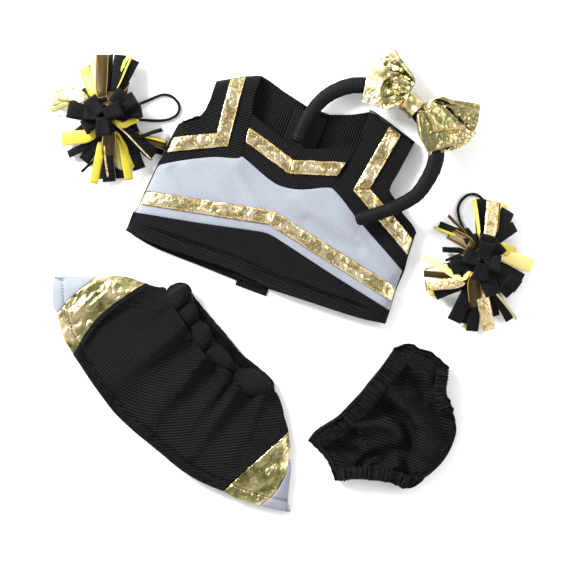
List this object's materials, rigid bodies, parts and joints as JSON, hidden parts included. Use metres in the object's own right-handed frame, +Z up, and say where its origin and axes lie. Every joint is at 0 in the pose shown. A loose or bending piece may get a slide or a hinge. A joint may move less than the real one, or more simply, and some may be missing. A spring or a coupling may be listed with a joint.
{
  "type": "cheer uniform",
  "caption": "Toy-sized cheer uniform laid out flat: cropped top, skirt, bloomers, headband with a bow, and two ribbon pom-poms with hand loops.",
  "frame": {"origin": "on the surface it lies on, under the middle of the laid-out set", "axes": "+Z up from the surface, fronts facing up; +X to the right and +Y away from a person who looks at the set, with the skirt at the near left"},
  "size_m": [0.3408, 0.3298, 0.0356],
  "materials": {
    "black_knit": "matte ribbed polyester knit",
    "white_knit": "smooth polyester knit, faintly cool",
    "gold_lame": "metallic foil-printed lame, crinkled",
    "black_grosgrain": "ribbed ribbon with a slight sheen",
    "gold_ribbon": "yellow satin and gold foil ribbon",
    "elastic_webbing": "woven elastic",
    "hook_and_loop": "matte hook-and-loop tape",
    "elastic_cord": "braided black elastic cord",
    "hoop_core": "springy plastic strip"
  },
  "bodies": {
    "skirt": {"skirt_front_panel": "black_knit", "skirt_back_panel": "black_knit", "skirt_left_side_seam": "black_knit", "skirt_right_side_seam": "black_knit", "skirt_waist_casing_back": "black_knit", "skirt_waist_casing_front": "black_knit", "skirt_left_white_inset": "white_knit", "skirt_right_white_inset": "white_knit", "skirt_left_gold_inset": "gold_lame", "skirt_right_gold_inset": "gold_lame", "skirt_waist_elastic": "elastic_webbing"},
    "top": {"top_hem_panel": "black_knit", "top_left_shoulder_panel": "black_knit", "top_right_shoulder_panel": "black_knit", "top_neck_yoke": "black_knit", "top_back_left_panel": "black_knit", "top_back_right_panel": "black_knit", "top_left_side_seam": "black_knit", "top_right_side_seam": "black_knit", "top_left_shoulder_seam": "black_knit", "top_right_shoulder_seam": "black_knit", "top_white_panel": "white_knit", "top_chest_trim": "gold_lame", "top_neck_trim": "gold_lame", "top_left_shoulder_trim": "gold_lame", "top_right_shoulder_trim": "gold_lame", "top_loop_tape": "hook_and_loop"},
    "closure_flap": {"top_closure_flap": "black_knit", "top_hook_tape": "hook_and_loop"},
    "bloomers": {"bloomers_back_panel": "black_knit", "bloomers_front_panel": "black_knit", "bloomers_gusset": "black_knit", "bloomers_left_side_seam": "black_knit", "bloomers_right_side_seam": "black_knit", "bloomers_waist_casing_back": "black_knit", "bloomers_waist_casing_front": "black_knit", "bloomers_left_leg_casing": "black_knit", "bloomers_right_leg_casing": "black_knit", "bloomers_waist_elastic": "elastic_webbing", "bloomers_left_leg_elastic": "elastic_webbing", "bloomers_right_leg_elastic": "elastic_webbing"},
    "headband_crown": {"headband_crown_wrap": "black_grosgrain", "headband_crown_core": "hoop_core", "bow_left_loop": "gold_lame", "bow_right_loop": "gold_lame", "bow_centre_wrap": "gold_lame"},
    "headband_left_arm": {"headband_left_arm_wrap": "black_grosgrain", "headband_left_arm_core": "hoop_core"},
    "headband_right_arm": {"headband_right_arm_wrap": "black_grosgrain", "headband_right_arm_core": "hoop_core"},
    "pom_left": {"pom_left_tie": "black_grosgrain", "pom_left_lower_ribbons": "black_grosgrain", "pom_left_upper_ribbons": "black_grosgrain", "pom_left_gold_ribbons": "gold_ribbon", "pom_left_hand_loop": "elastic_cord"},
    "pom_right": {"pom_right_tie": "black_grosgrain", "pom_right_lower_ribbons": "black_grosgrain", "pom_right_upper_ribbons": "black_grosgrain", "pom_right_gold_ribbons": "gold_ribbon", "pom_right_hand_loop": "elastic_cord"}
  },
  "joints": [
    {"name": "top_lift", "type": "slide", "parent": "skirt", "child": "top", "axis": [0, 0, 1], "range_m": [0, 0.12]},
    {"name": "bloomers_lift", "type": "slide", "parent": "skirt", "child": "bloomers", "axis": [0, 0, 1], "range_m": [0, 0.12]},
    {"name": "headband_lift", "type": "slide", "parent": "top", "child": "headband_crown", "axis": [0, 0, 1], "range_m": [0, 0.12]},
    {"name": "pom_left_lift", "type": "slide", "parent": "skirt", "child": "pom_left", "axis": [0, 0, 1], "range_m": [0, 0.12]},
    {"name": "pom_right_lift", "type": "slide", "parent": "skirt", "child": "pom_right", "axis": [0, 0, 1], "range_m": [0, 0.12]},
    {"name": "headband_left_spread", "type": "hinge", "parent": "headband_crown", "child": "headband_left_arm", "pos_m": [0.05597, 0.13549, 0.00861], "axis": [0.0412, -0.0978, -0.9944], "range_deg": [0, 10], "stiffness_Nm_per_rad": 0.2},
    {"name": "headband_right_spread", "type": "hinge", "parent": "headband_crown", "child": "headband_right_arm", "pos_m": [0.09879, 0.09766, 0.0141], "axis": [-0.0412, 0.0978, 0.9944], "range_deg": [0, 10], "stiffness_Nm_per_rad": 0.2},
    {"name": "closure_peel", "type": "hinge", "parent": "top", "child": "closure_flap", "pos_m": [0.00511, 0.05257, 0], "axis": [-0.3502, -0.9367, 0], "range_deg": [0, 150]}
  ],
  "couplings": [
    {"joint": "headband_right_spread", "follows": "headband_left_spread", "ratio": 1}
  ]
}
